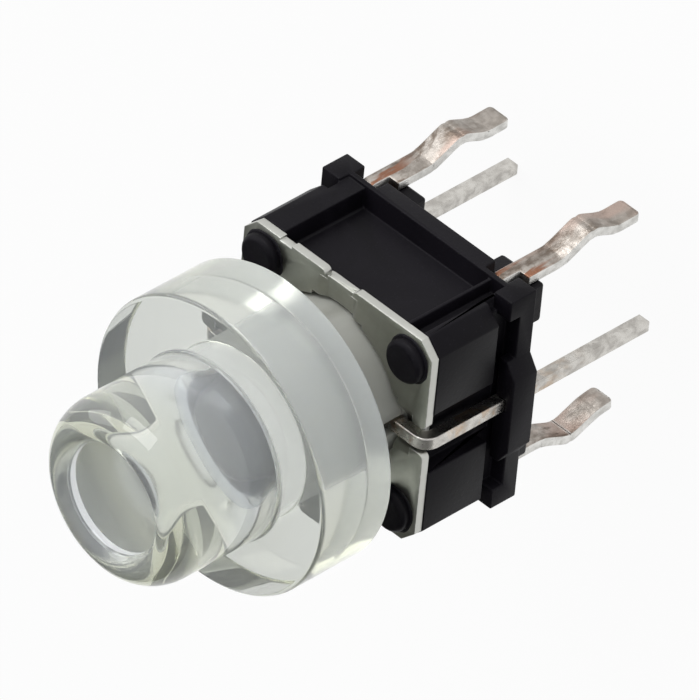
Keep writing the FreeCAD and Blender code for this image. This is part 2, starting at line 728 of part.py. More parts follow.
def main():
    os.makedirs("parts", exist_ok=True)
    pieces = {
        "housing": housing(),
        "cover_plate": cover_plate(),
        "outer_contact": outer_contact(),
        "centre_contact": centre_contact(),
        "snap_dome": snap_dome(),
        "plunger": plunger(),
        "cap": cap(),
        "led_lens": led_lens(),
        "led_cathode": led_cathode(),
        "led_anode": led_anode(),
        "led_chip": led_chip(),
        "bond_wire": bond_wire(),
    }
    for name, shape in pieces.items():
        shape.exportStep(f"parts/{name}.step")
        box_ = shape.BoundBox
        print(name, "solids", len(shape.Solids), "valid", shape.isValid(), "volume", round(shape.Volume, 3),
              "z", round(box_.ZMin, 3), round(box_.ZMax, 3))


main()
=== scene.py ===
import math

import bmesh
import bpy
from mathutils import Matrix, Vector


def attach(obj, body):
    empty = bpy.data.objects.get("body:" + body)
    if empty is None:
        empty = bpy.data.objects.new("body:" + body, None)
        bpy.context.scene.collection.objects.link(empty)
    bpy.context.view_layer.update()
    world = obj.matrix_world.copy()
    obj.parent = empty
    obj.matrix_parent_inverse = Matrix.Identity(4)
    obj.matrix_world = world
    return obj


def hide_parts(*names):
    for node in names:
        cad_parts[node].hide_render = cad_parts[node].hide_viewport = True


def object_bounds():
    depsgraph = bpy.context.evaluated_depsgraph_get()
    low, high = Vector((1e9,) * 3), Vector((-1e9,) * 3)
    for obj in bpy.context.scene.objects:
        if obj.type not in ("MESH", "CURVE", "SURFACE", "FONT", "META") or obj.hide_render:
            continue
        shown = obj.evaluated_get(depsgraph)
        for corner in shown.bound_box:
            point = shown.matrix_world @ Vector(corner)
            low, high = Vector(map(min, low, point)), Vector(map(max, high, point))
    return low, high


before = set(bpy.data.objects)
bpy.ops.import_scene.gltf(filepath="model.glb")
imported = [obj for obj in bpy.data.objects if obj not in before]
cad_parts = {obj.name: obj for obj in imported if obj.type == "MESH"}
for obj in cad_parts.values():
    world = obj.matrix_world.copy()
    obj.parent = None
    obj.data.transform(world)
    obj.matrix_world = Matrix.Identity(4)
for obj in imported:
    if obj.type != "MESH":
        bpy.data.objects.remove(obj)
cad_low, cad_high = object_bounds()

MM = 0.001  # the frame and the finished meshes are in metres

# Turned clear cap, millimetres
CAP_REAR = 6.11
DISC_FRONT = 8.42
BUTTON_FRONT = 11.80
DISC_RADIUS = 4.0
BUTTON_RADIUS = 2.5
LIP_CREST = 1.86        # radius at which the lip is highest
LIP_FALL = 0.95         # from the crest down to the straight side
DISH_RADIUS = 1.48
DISH_EDGE = 11.44       # height at which the lip turns into the dish
DISH_DEPTH = 0.14
SOCKET_RADIUS = 2.28    # round the plunger's neck
SOCKET_END = 8.08
BORE_RADIUS = 1.65      # round the light
BORE_DOME = 8.27        # height of the centre of the bore's round end
CAP_STEPS = 128         # faces round the axis
CORNER_STEPS = 14       # faces round each rounded corner of a profile
ON_AXIS = 1e-6          # a smaller radius is a single point on the axis

# Light's lens, millimetres
LENS_BASE = 4.62
LENS_FLANGE_RADIUS = 1.70
LENS_FLANGE_TOP = 5.32
LENS_RADIUS = 1.50
LENS_DOME = 8.02        # height of the dome's centre
LENS_STEPS = 96

# Collars of melted plastic round the heads of the four stakes, millimetres
STAKE_X = 2.55
STAKE_Y = 2.34
PLATE_TOP = 4.39
FLASH_RADIUS = 0.66
FLASH_HEIGHT = 0.11
FLASH_SINK = 0.02       # into the plate
FLASH_UNEVENNESS = 0.16  # share of the radius
FLASH_SEED = 3.0

# Solder terminals below the body, millimetres: (reach past the root, height) at each bend
FRONT_LEG = ((0.0, -0.70), (0.46, -1.66), (0.11, -2.45), (0.13, -3.26))
BACK_LEG = ((0.0, -0.60), (0.44, -1.60), (0.06, -2.50), (0.0, -3.02))
LEG_LOW = -3.20
LEG_HIGH = -0.10
LEG_SLICES = 31
BEND_SOFTNESS = 0.16    # one sigma of the heights over which a bend is averaged

# Edges and shading
JOIN_DISTANCE = 2e-7    # metres
CUT_DISTANCE = 1e-8
FLAT_ANGLE = 1.0        # degrees
EDGE_ANGLE = 38.0
EDGE_SEGMENTS = 2
SHARP_TURNED = 13       # degrees at which smooth shading breaks
SHARP_DRESSED = 50
SHARP_FLASH = 60

# Where a finish, or the painted shade on the plunger's neck, begins and is full, metres
COPPER_SHOWS = (-0.0007, 0.0002)    # heights, towards the terminals' roots
SMEARS_THICKEN = (-0.0022, -0.0014)
LEADS_WARM = (-0.0016, 0.0009)
# painted shade on the plunger's neck below the cap: heights from none to full, down the neck
NECK_PAINTED_SHADE = (0.0066, 0.0058)
DISH_WITHIN = (0.00149, 0.00147)    # radius, inwards
DISH_ABOVE = (0.0110, 0.0112)
BORE_WITHIN = (0.00240, 0.00232)
BORE_BELOW = (0.0102, 0.0100)
DISH_MATT = 0.50        # roughness that is added there
BORE_MATT = 0.12

# Studio
FLOOR_DROP = 0.02       # millimetres below the leads' ends
FLOOR_REACH = 2.0       # metres
FLOOR_COLOUR = (0.82, 0.82, 0.81)
FLOOR_WHITENESS = 0.93  # share of plain white that the camera, metal and clear plastic see
BRIGHT_SIDE = (0.0, 0.97, 0.25)
STUDIO_SPREAD = (-0.75, 0.85)  # where the studio is at its dimmest and brightest, -1 to 1
STUDIO_DIM = (0.12, 0.12, 0.11)
STUDIO_BRIGHT = (0.95, 0.97, 1.0)
SEEN_THROUGH = (0.88, 0.90, 0.91)
LAMPS = (               # name, place, aim and size in metres, power in watts
    ("soft_top", (-0.03, 0.16, 0.045), (0, 0, 0.004), (0.12, 0.12), 0.15),
    ("soft_side", (-0.13, 0.06, 0.07), (0, 0, 0.006), (0.08, 0.10), 0.05),
)

# The photograph's camera, as fitted to the body's edges
CAMERA_PLACE = (0.257142, 0.311245, 0.281354)
CAMERA_RIGHT = (0.68732488, 0.07651957, -0.72230829)
CAMERA_UP = (-0.50168203, 0.76913954, -0.39590341)
CAMERA_BACK = (0.5252615, 0.63448335, 0.56703724)
CAMERA_LENS = 1037.26   # millimetres
CAMERA_SENSOR = 36.0
CAMERA_NEAR = 0.01      # metres
CAMERA_FAR = 10.0


# Meshes

def object_from(bm, name, material):
    mesh = bpy.data.meshes.new(name)
    bm.to_mesh(mesh)
    bm.free()
    piece = bpy.data.objects.new(name, mesh)
    bpy.context.scene.collection.objects.link(piece)
    mesh.materials.append(material)
    return piece


def soft_and_sharp(piece, angle):
    """Smooth shading that breaks where faces meet at more than the angle."""
    piece.data.shade_smooth()
    piece.data.set_sharp_from_angle(angle=math.radians(angle))
    return piece


def rounded_corners(corners):
    """An open profile of (radius, height) points from corners that each carry their rounding."""
    points = []
    for i, (r, z, rounding) in enumerate(corners):
        here = Vector((r, z))
        if rounding == 0 or i in (0, len(corners) - 1):
            points.append(here)
            continue
        to_last = (Vector(corners[i - 1][:2]) - here).normalized()
        to_next = (Vector(corners[i + 1][:2]) - here).normalized()
        half = to_last.angle(to_next) / 2
        reach = rounding / math.tan(half)
        centre = here + (to_last + to_next).normalized() * (rounding / math.sin(half))
        start = here + to_last * reach - centre
        turn = start.angle_signed(here + to_next * reach - centre)
        for k in range(CORNER_STEPS + 1):
            points.append(centre + Matrix.Rotation(-turn * k / CORNER_STEPS, 2) @ start)
    return points


def oval_points(centre, across, along, first, last, steps):
    """Points on an oval in the profile's plane, angles in degrees from the outward direction."""
    turns = [math.radians(first + (last - first) * k / steps) for k in range(steps + 1)]
    return [Vector((centre[0] + across * math.cos(a), centre[1] + along * math.sin(a)))
            for a in turns]


def arc_points(centre, radius, first, last, steps):
    """Points on a circle, as oval_points gives them."""
    return oval_points(centre, radius, radius, first, last, steps)


def turned(name, profile, material, steps):
    """A closed body turned about Z, from a profile whose two ends lie on the axis."""
    bm = bmesh.new()
    rings = []
    for r, z in profile:
        if r < ON_AXIS:
            rings.append([bm.verts.new((0, 0, z * MM))])
            continue
        turns = [2 * math.pi * k / steps for k in range(steps)]
        rings.append([bm.verts.new((r * MM * math.cos(a), r * MM * math.sin(a), z * MM))
                      for a in turns])
    for low, high in zip(rings, rings[1:]):
        for k in range(steps):
            n = (k + 1) % steps
            corners = [low[k % len(low)], low[n % len(low)],
                       high[n % len(high)], high[k % len(high)]]
            bm.faces.new(list(dict.fromkeys(corners)))
    bmesh.ops.recalc_face_normals(bm, faces=bm.faces)
    return soft_and_sharp(object_from(bm, name, material), SHARP_TURNED)


def softly_bent(bm):
    """Rounds the bends of the solder terminals below the body, as the forming tool leaves them."""
    for k in range(LEG_SLICES + 1):
        level = LEG_LOW + (LEG_HIGH - LEG_LOW) * k / LEG_SLICES
        bmesh.ops.bisect_plane(bm, geom=bm.verts[:] + bm.edges[:] + bm.faces[:],
                               dist=CUT_DISTANCE, plane_co=(0, 0, level * MM), plane_no=(0, 0, 1))
    for v in bm.verts:
        z = v.co.z / MM
        if z < LEG_HIGH:
            path = FRONT_LEG if v.co.y > 0 else BACK_LEG
            shift = (reach_smoothed(path, z) - reach_at(path, z)) * MM
            v.co.y += shift * math.copysign(1, v.co.y)


def reach_at(path, z):
    """How far a terminal's middle stands out at a height, on straight runs between its bends."""
    if z >= path[0][1]:
        return path[0][0]
    for (near, high), (far, low) in zip(path, path[1:]):
        if z >= low:
            return near + (far - near) * (high - z) / (high - low)
    return path[-1][0]


def reach_smoothed(path, z):
    """The same reach with its bends averaged over the heights nearby."""
    steps = [k / 6 for k in range(-12, 13)]
    weights = [math.exp(-s * s / 2) for s in steps]
    total = sum(w * reach_at(path, z + s * BEND_SOFTNESS) for s, w in zip(steps, weights))
    return total / sum(weights)


def dressed_copy(name, cad, material, edge_width, reshape):
    """A CAD node's copy with its triangles joined, its flats made whole and its edges rounded."""
    bm = bmesh.new()
    bm.from_mesh(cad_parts[cad].data)
    bmesh.ops.remove_doubles(bm, verts=bm.verts, dist=JOIN_DISTANCE)
    bmesh.ops.dissolve_limit(bm, angle_limit=math.radians(FLAT_ANGLE),
                             verts=bm.verts, edges=bm.edges)
    if reshape:
        reshape(bm)
    piece = object_from(bm, name, material)
    bevel = piece.modifiers.new("edges", "BEVEL")
    bevel.limit_method = "ANGLE"
    bevel.angle_limit = math.radians(EDGE_ANGLE)
    bevel.width = edge_width * MM
    bevel.segments = EDGE_SEGMENTS
    bevel.use_clamp_overlap = False
    made_plain(piece)
    soft_and_sharp(piece, SHARP_DRESSED)
    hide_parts(cad)
    return piece


def made_plain(piece):
    """Turns a piece with modifiers into the mesh that they give."""
    seen = piece.evaluated_get(bpy.context.evaluated_depsgraph_get())
    plain = bpy.data.meshes.new_from_object(seen)
    piece.modifiers.clear()
    piece.data = plain


# Nodes

def new_group(name, inputs, outputs):
    group = bpy.data.node_groups.new(name, "ShaderNodeTree")
    for label, kind, value in inputs:
        socket = group.interface.new_socket(label, in_out="INPUT", socket_type=kind)
        socket.default_value = value
    for label, kind in outputs:
        group.interface.new_socket(label, in_out="OUTPUT", socket_type=kind)
    return group, group.nodes.new("NodeGroupInput"), group.nodes.new("NodeGroupOutput")


def node(tree, kind, **settings):
    """A new node; each setting is one of its properties or one of its inputs."""
    made = tree.nodes.new(kind)
    for key, value in settings.items():
        if hasattr(made, key):
            setattr(made, key, value)
        else:
            made.inputs[key.replace("_", " ")].default_value = value
    return made


def noise_texture(tree, where, scale, detail, roughness=0.55, distortion=0.0):
    made = node(tree, "ShaderNodeTexNoise", Scale=scale, Detail=detail, Roughness=roughness,
                Distortion=distortion)
    tree.links.new(where, made.inputs["Vector"])
    return made.outputs["Fac"]


def band(tree, value, low, high, out_low=0.0, out_high=1.0, smooth=True):
    """The value taken from one range to another, held at both ends."""
    made = node(tree, "ShaderNodeMapRange", clamp=True,
                interpolation_type="SMOOTHSTEP" if smooth else "LINEAR")
    for key, number in (("From Min", low), ("From Max", high),
                        ("To Min", out_low), ("To Max", out_high)):
        made.inputs[key].default_value = number
    tree.links.new(value, made.inputs["Value"])
    return made.outputs["Result"]


def arithmetic(tree, operation, a, b=None, clamp=False):
    made = node(tree, "ShaderNodeMath", operation=operation, use_clamp=clamp)
    for socket, value in zip(made.inputs, (a, b)):
        if value is None:
            continue
        if isinstance(value, (int, float)):
            socket.default_value = value
        else:
            tree.links.new(value, socket)
    return made.outputs[0]


def blended(tree, factor, a, b):
    """One colour laid over another."""
    made = node(tree, "ShaderNodeMix", data_type="RGBA")
    for socket, value in ((made.inputs[0], factor), (made.inputs[6], a), (made.inputs[7], b)):
        if isinstance(value, (int, float)):
            socket.default_value = value
        elif isinstance(value, tuple):
            socket.default_value = (*value, 1.0)
        else:
            tree.links.new(value, socket)
    return made.outputs[2]


def stretched(tree, where, scale):
    made = node(tree, "ShaderNodeMapping")
    made.inputs["Scale"].default_value = scale
    tree.links.new(where, made.inputs["Vector"])
    return made.outputs["Vector"]


def facing(tree, axis):
    """How squarely a face looks along an axis, either way: 1 is straight along it."""
    parts = node(tree, "ShaderNodeSeparateXYZ")
    tree.links.new(node(tree, "ShaderNodeNewGeometry").outputs["Normal"], parts.inputs[0])
    return arithmetic(tree, "ABSOLUTE", parts.outputs[axis])


# Shader groups, each an effect that several materials share

def build_edge_rub():
    """A mask of a piece's outer edges, broken up as handling leaves them."""
    group, given, out = new_group(
        "edge_rub",
        [("Where", "NodeSocketVector", (0, 0, 0)), ("Width", "NodeSocketFloat", 0.0001),
         ("Amount", "NodeSocketFloat", 1.0)],
        [("Mask", "NodeSocketFloat")],
    )
    bevel = node(group, "ShaderNodeBevel", samples=6)
    group.links.new(given.outputs["Width"], bevel.inputs["Radius"])
    shape = node(group, "ShaderNodeNewGeometry")
    dot = node(group, "ShaderNodeVectorMath", operation="DOT_PRODUCT")
    group.links.new(bevel.outputs["Normal"], dot.inputs[0])
    group.links.new(shape.outputs["Normal"], dot.inputs[1])
    edge = band(group, dot.outputs["Value"], 0.995, 0.86)
    patches = noise_texture(group, given.outputs["Where"], 5200, detail=3)
    broken = band(group, patches, 0.38, 0.62, 0.25, 1.0)
    both = arithmetic(group, "MULTIPLY", edge, broken)
    mask = arithmetic(group, "MULTIPLY", both, given.outputs["Amount"], clamp=True)
    group.links.new(mask, out.inputs["Mask"])
    return group


def build_moulded_skin():
    """The skin of a moulded plastic: slow flow marks, fine grain, and small pits."""
    group, given, out = new_group(
        "moulded_skin",
        [("Where", "NodeSocketVector", (0, 0, 0)), ("Grain", "NodeSocketFloat", 9000.0),
         ("Flow", "NodeSocketFloat", 420.0)],
        [("Flow Marks", "NodeSocketFloat"), ("Height", "NodeSocketFloat"),
         ("Pits", "NodeSocketFloat")],
    )
    flow = node(group, "ShaderNodeTexNoise", Detail=3.0, Roughness=0.6, Distortion=0.8)
    grain = node(group, "ShaderNodeTexNoise", Detail=5.0, Roughness=0.6)
    pits = node(group, "ShaderNodeTexVoronoi", feature="F1")
    for texture, scale in ((flow, "Flow"), (grain, "Grain"), (pits, "Grain")):
        group.links.new(given.outputs["Where"], texture.inputs["Vector"])
        group.links.new(given.outputs[scale], texture.inputs["Scale"])
    marks = band(group, flow.outputs["Fac"], 0.30, 0.70)
    dots = band(group, pits.outputs["Distance"], 0.22, 0.05)
    height = arithmetic(group, "SUBTRACT", grain.outputs["Fac"],
                        arithmetic(group, "MULTIPLY", dots, 0.35))
    group.links.new(marks, out.inputs["Flow Marks"])
    group.links.new(height, out.inputs["Height"])
    group.links.new(dots, out.inputs["Pits"])
    return group


def build_metal_skin():
    """The skin of rolled or plated metal: cloudy patches, drawn lines and small scratches."""
    group, given, out = new_group(
        "metal_skin",
        [("Where", "NodeSocketVector", (0, 0, 0)), ("Cloud", "NodeSocketFloat", 900.0),
         ("Lines", "NodeSocketFloat", 2600.0)],
        [("Clouds", "NodeSocketFloat"), ("Drawn Lines", "NodeSocketFloat"),
         ("Height", "NodeSocketFloat")],
    )
    cloud = node(group, "ShaderNodeTexNoise", Detail=6.0, Roughness=0.65, Distortion=0.3)
    lines = node(group, "ShaderNodeTexNoise", Detail=3.0, Roughness=0.6)
    fine = node(group, "ShaderNodeTexNoise", Detail=4.0, Roughness=0.7)
    group.links.new(given.outputs["Where"], cloud.inputs["Vector"])
    group.links.new(given.outputs["Cloud"], cloud.inputs["Scale"])
    along = stretched(group, given.outputs["Where"], (1.0, 1.0, 0.07))
    group.links.new(along, lines.inputs["Vector"])
    group.links.new(given.outputs["Lines"], lines.inputs["Scale"])
    group.links.new(given.outputs["Where"], fine.inputs["Vector"])
    finer = arithmetic(group, "MULTIPLY", given.outputs["Cloud"], 6.0)
    group.links.new(finer, fine.inputs["Scale"])
    clouds = band(group, cloud.outputs["Fac"], 0.34, 0.66)
    drawn = band(group, lines.outputs["Fac"], 0.40, 0.60)
    height = arithmetic(group, "ADD", arithmetic(group, "MULTIPLY", lines.outputs["Fac"], 0.5),
                        fine.outputs["Fac"])
    group.links.new(clouds, out.inputs["Clouds"])
    group.links.new(drawn, out.inputs["Drawn Lines"])
    group.links.new(height, out.inputs["Height"])
    return group


EDGE_RUB = build_edge_rub()
MOULDED_SKIN = build_moulded_skin()
METAL_SKIN = build_metal_skin()


# Materials

def new_material(name, **sockets):
    material = bpy.data.materials.new(name)
    material.use_nodes = True
    shader = material.node_tree.nodes["Principled BSDF"]
    for key, value in sockets.items():
        shader.inputs[key.replace("_", " ")].default_value = value
    where = material.node_tree.nodes.new("ShaderNodeTexCoord").outputs["Object"]
    return material, material.node_tree, shader, where


def placed_group(tree, group, where, **values):
    made = tree.nodes.new("ShaderNodeGroup")
    made.node_tree = group
    tree.links.new(where, made.inputs["Where"])
    for key, value in values.items():
        made.inputs[key].default_value = value
    return made.outputs


def bumped(tree, shader, height, strength, depth):
    """Relief from a height that runs from 0 to 1, as deep as the depth in metres."""
    bump = node(tree, "ShaderNodeBump", Strength=strength, Distance=depth)
    tree.links.new(height, bump.inputs["Height"])
    tree.links.new(bump.outputs["Normal"], shader.inputs["Normal"])


def surfaced(tree, shader, colour, roughness):
    """Joins a colour and a roughness that change over the surface to the shader."""
    tree.links.new(colour, shader.inputs["Base Color"])
    tree.links.new(roughness, shader.inputs["Roughness"])


def own_place(tree, where):
    """The piece's own X, Y and Z."""
    made = node(tree, "ShaderNodeSeparateXYZ")
    tree.links.new(where, made.inputs[0])
    return made.outputs


def black_nylon():
    """Deep black moulded plastic, a little paler where it is rubbed or dusty."""
    material, tree, shader, where = new_material("black_nylon", Specular_IOR_Level=0.11)
    skin = placed_group(tree, MOULDED_SKIN, where, Grain=7500.0, Flow=380.0)
    rub = placed_group(tree, EDGE_RUB, where, Width=0.00007, Amount=0.7)
    body = blended(tree, skin["Flow Marks"], (0.0026, 0.0021, 0.0034), (0.0056, 0.0046, 0.0070))
    pits = arithmetic(tree, "MULTIPLY", skin["Pits"], 0.25)
    dusted = blended(tree, pits, body, (0.022, 0.020, 0.025))
    surfaced(tree, shader, blended(tree, rub["Mask"], dusted, (0.030, 0.028, 0.033)),
             band(tree, skin["Flow Marks"], 0, 1, 0.40, 0.52))
    bumped(tree, shader, skin["Height"], strength=0.25, depth=0.00002)
    return material


def plate_steel():
    """Rolled grey sheet with brighter cut sides and corners."""
    material, tree, shader, where = new_material("plate_steel", Metallic=1.0)
    skin = placed_group(tree, METAL_SKIN, where, Cloud=450.0, Lines=5200.0)
    rub = placed_group(tree, EDGE_RUB, where, Width=0.00006, Amount=1.0)
    face = blended(tree, skin["Clouds"], (0.33, 0.335, 0.295), (0.38, 0.385, 0.34))
    lines = arithmetic(tree, "MULTIPLY", skin["Drawn Lines"], 0.12)
    lined = blended(tree, lines, face, (0.48, 0.48, 0.45))
    sheared = band(tree, facing(tree, "Z"), 0.45, 0.20, 0.0, 0.3)
    bright = arithmetic(tree, "MAXIMUM", rub["Mask"], sheared)
    surfaced(tree, shader, blended(tree, bright, lined, (0.90, 0.90, 0.88)),
             band(tree, skin["Clouds"], 0, 1, 0.32, 0.40))
    bumped(tree, shader, skin["Height"], strength=0.05, depth=0.00001)
    return material


def tinned_bronze():
    """Dull tin, brown smears where it was formed, bright cut sides and copper at the roots."""
    material, tree, shader, where = new_material("tinned_bronze", Metallic=1.0)
    skin = placed_group(tree, METAL_SKIN, where, Cloud=2600.0, Lines=3000.0)
    rub = placed_group(tree, EDGE_RUB, where, Width=0.00007, Amount=0.9)
    z = own_place(tree, where)["Z"]
    along = stretched(tree, where, (1, 1, 0.28))
    grey = blended(tree, skin["Clouds"], (0.30, 0.27, 0.24), (0.48, 0.44, 0.40))
    blush = band(tree, noise_texture(tree, along, 800, detail=3), 0.48, 0.62)
    pink = blended(tree, blush, grey, (0.47, 0.37, 0.32))
    smudge = noise_texture(tree, along, 1700, detail=5, roughness=0.65, distortion=0.4)
    smear = band(tree, smudge, 0.46, 0.60, 0.0, 0.85)
    formed = arithmetic(tree, "MULTIPLY", band(tree, z, *SMEARS_THICKEN, 0.35, 1.0), smear)
    smeared = blended(tree, formed, pink, (0.13, 0.095, 0.07))
    drawn = stretched(tree, where, (1, 1, 0.2))
    fibre = noise_texture(tree, drawn, 2600, detail=3, roughness=0.5, distortion=0.2)
    streak = band(tree, fibre, 0.53, 0.60)
    bare = arithmetic(tree, "MULTIPLY", band(tree, z, *COPPER_SHOWS), streak)
    copper = blended(tree, bare, smeared, (0.27, 0.13, 0.08))
    cut = blended(tree, skin["Clouds"], (0.62, 0.61, 0.58), (0.80, 0.79, 0.76))
    bright = blended(tree, band(tree, facing(tree, "X"), 0.35, 0.75), copper, cut)
    surfaced(tree, shader, blended(tree, rub["Mask"], bright, (0.84, 0.82, 0.78)),
             band(tree, skin["Clouds"], 0, 1, 0.50, 0.34))
    bumped(tree, shader, skin["Height"], strength=0.45, depth=0.00003)
    return material


def tinned_steel():
    """The light's leads: brighter tin, with warm stains beside the housing and above."""
    material, tree, shader, where = new_material("tinned_steel", Metallic=1.0)
    skin = placed_group(tree, METAL_SKIN, where, Cloud=3000.0, Lines=4200.0)
    rub = placed_group(tree, EDGE_RUB, where, Width=0.00005, Amount=0.6)
    low_patch = band(tree, own_place(tree, where)["Z"], *LEADS_WARM)
    blot = noise_texture(tree, where, 1100, detail=5, roughness=0.6, distortion=1.0)
    patch = band(tree, blot, 0.48, 0.64)
    warm = arithmetic(tree, "MULTIPLY", low_patch, patch, clamp=True)
    tin = blended(tree, skin["Clouds"], (0.44, 0.42, 0.39), (0.66, 0.64, 0.60))
    stained = blended(tree, arithmetic(tree, "MULTIPLY", warm, 0.7), tin, (0.50, 0.36, 0.24))
    surfaced(tree, shader, blended(tree, rub["Mask"], stained, (0.88, 0.87, 0.85)),
             band(tree, skin["Clouds"], 0, 1, 0.38, 0.24))
    bumped(tree, shader, skin["Height"], strength=0.4, depth=0.00002)
    return material


def spring_steel():
    """Bright rolled spring sheet."""
    material, tree, shader, where = new_material("spring_steel", Metallic=1.0)
    skin = placed_group(tree, METAL_SKIN, where, Cloud=700.0, Lines=5000.0)
    surfaced(tree, shader, blended(tree, skin["Clouds"], (0.58, 0.58, 0.57), (0.72, 0.72, 0.70)),
             band(tree, skin["Drawn Lines"], 0, 1, 0.18, 0.28))
    bumped(tree, shader, skin["Height"], strength=0.1, depth=0.00001)
    return material


def white_acetal():
    """White plastic that light enters a little, with painted shade greying the neck below the cap
    towards its foot.
    """
    material, tree, shader, where = new_material("white_acetal", Subsurface_Weight=0.35,
                                                 Subsurface_Scale=0.0006)
    shader.inputs["Subsurface Radius"].default_value = (1.0, 0.95, 0.85)
    skin = placed_group(tree, MOULDED_SKIN, where, Grain=6000.0, Flow=300.0)
    held = blended(tree, skin["Flow Marks"], (0.72, 0.72, 0.68), (0.80, 0.80, 0.76))
    # Painted shade: the neck is greyed below the cap, where the gap between cap and plate shades it
    painted_neck_shade = band(tree, own_place(tree, where)["Z"], *NECK_PAINTED_SHADE)
    surfaced(tree, shader, blended(tree, painted_neck_shade, held, (0.30, 0.30, 0.27)),
             band(tree, skin["Flow Marks"], 0, 1, 0.38, 0.48))
    bumped(tree, shader, skin["Height"], strength=0.15, depth=0.00002)
    return material


def clear_plastic(name, tint, ior, clearness, absorbed, density, waviness, matt=None):
    """Clear plastic: colour builds up with depth, the skin waves a little, faces may be matt."""
    material, tree, shader, where = new_material(name, Transmission_Weight=clearness, IOR=ior)
    shader.inputs["Base Color"].default_value = (*tint, 1.0)
    skin = placed_group(tree, MOULDED_SKIN, where, Grain=2600.0, Flow=170.0)
    dull = band(tree, skin["Flow Marks"], 0.2, 1, 0.0, 0.035)
    if matt:
        dull = arithmetic(tree, "ADD", dull, matt(tree, where))
    tree.links.new(dull, shader.inputs["Roughness"])
    bumped(tree, shader, skin["Flow Marks"], strength=waviness, depth=0.00002)
    depth = node(tree, "ShaderNodeVolumeAbsorption", Density=density)
    depth.inputs["Color"].default_value = (*absorbed, 1.0)
    tree.links.new(depth.outputs["Volume"], tree.nodes["Material Output"].inputs["Volume"])
    return material


def matt_dish_and_bore(tree, where):
    """How dull the cap's dish and its inner walls are, by their place on the turned shape."""
    place = own_place(tree, where)
    across = node(tree, "ShaderNodeVectorMath", operation="LENGTH")
    flat = node(tree, "ShaderNodeCombineXYZ")
    for axis in ("X", "Y"):
        tree.links.new(place[axis], flat.inputs[axis])
    tree.links.new(flat.outputs[0], across.inputs[0])
    dull = []
    for radii, levels, amount in ((DISH_WITHIN, DISH_ABOVE, DISH_MATT),
                                  (BORE_WITHIN, BORE_BELOW, BORE_MATT)):
        within = band(tree, across.outputs["Value"], *radii, smooth=False)
        level = band(tree, place["Z"], *levels, smooth=False)
        here = arithmetic(tree, "MULTIPLY", within, level)
        dull.append(arithmetic(tree, "MULTIPLY", here, amount))
    return arithmetic(tree, "ADD", *dull)


def chip_crystal():
    """The light's chip."""
    material, tree, shader, where = new_material("chip_crystal", Specular_IOR_Level=0.8)
    fine = noise_texture(tree, where, 9000, detail=2)
    surfaced(tree, shader, blended(tree, fine, (0.50, 0.46, 0.24), (0.72, 0.68, 0.40)),
             band(tree, fine, 0.3, 0.7, 0.12, 0.25))
    return material


def gold_wire():
    """The wire from the chip to its post."""
    material, tree, shader, where = new_material("gold_wire", Metallic=1.0)
    fine = noise_texture(tree, where, 16000, detail=2)
    surfaced(tree, shader, blended(tree, fine, (0.78, 0.52, 0.20), (0.92, 0.70, 0.34)),
             band(tree, fine, 0.3, 0.7, 0.15, 0.25))
    return material


NYLON = black_nylon()
PLATE = plate_steel()
BRONZE = tinned_bronze()
LEADS = tinned_steel()
SPRING = spring_steel()
ACETAL = white_acetal()
CLEAR_CAP = clear_plastic("clear_cap", tint=(0.86, 0.88, 0.94), ior=1.49, clearness=0.85,
                          absorbed=(0.85, 0.852, 0.68), density=270.0, waviness=0.05,
                          matt=matt_dish_and_bore)
EPOXY = clear_plastic("clear_epoxy", tint=(0.95, 0.96, 0.97), ior=1.53, clearness=0.95,
                      absorbed=(0.85, 0.87, 0.84), density=60.0, waviness=0.03)
CRYSTAL = chip_crystal()
GOLD = gold_wire()


# Pieces

def clear_cap():
    """Thick disc and button with a full lip round its dish, open at the rear for neck and light."""
    dish_ball = (DISH_RADIUS**2 + DISH_DEPTH**2) / (2 * DISH_DEPTH)
    dish_turn = math.degrees(math.asin(DISH_RADIUS / dish_ball))
    dish = arc_points((0, DISH_EDGE - DISH_DEPTH + dish_ball), dish_ball, -90, -90 + dish_turn,
                      steps=10)
    lip_inside = oval_points((LIP_CREST, DISH_EDGE), LIP_CREST - DISH_RADIUS,
                             BUTTON_FRONT - DISH_EDGE, 180, 90, steps=12)
    lip_outside = oval_points((LIP_CREST, BUTTON_FRONT - LIP_FALL), BUTTON_RADIUS - LIP_CREST,
                              LIP_FALL, 90, 0, steps=20)
    below = rounded_corners([  # radius, height and rounding of each corner
        lip_outside[-1].to_tuple() + (0,),
        (BUTTON_RADIUS, DISC_FRONT, 0.10),
        (DISC_RADIUS, DISC_FRONT, 0.12),
        (DISC_RADIUS, CAP_REAR, 0.09),
        (SOCKET_RADIUS, CAP_REAR, 0.05),
        (SOCKET_RADIUS, SOCKET_END, 0.04),
        (BORE_RADIUS, SOCKET_END, 0.04),
        (BORE_RADIUS, BORE_DOME, 0),
    ])
    bore_end = arc_points((0, BORE_DOME), BORE_RADIUS, 0, 90, steps=24)
    profile = [Vector((0, dish[0].y))] + dish[1:] + lip_inside[1:] + lip_outside[1:-1] + below
    profile += bore_end[1:-1] + [Vector((0, bore_end[-1].y))]
    cap = turned("clear_cap", profile, CLEAR_CAP, CAP_STEPS)
    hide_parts("cap")
    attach(cap, "button")


def light_lens():
    """The light's cast body, one solid round its metal."""
    outside = rounded_corners([
        (0, LENS_BASE, 0),
        (LENS_FLANGE_RADIUS, LENS_BASE, 0.06),
        (LENS_FLANGE_RADIUS, LENS_FLANGE_TOP, 0.08),
        (LENS_RADIUS, LENS_FLANGE_TOP, 0.05),
        (LENS_RADIUS, LENS_DOME, 0),
    ])
    nose = arc_points((0, LENS_DOME), LENS_RADIUS, 0, 90, steps=18)
    profile = outside + nose[1:-1] + [Vector((0, nose[-1].y))]
    lens = turned("light_lens", profile, EPOXY, LENS_STEPS)
    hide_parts("led_lens")
    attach(lens, "base")


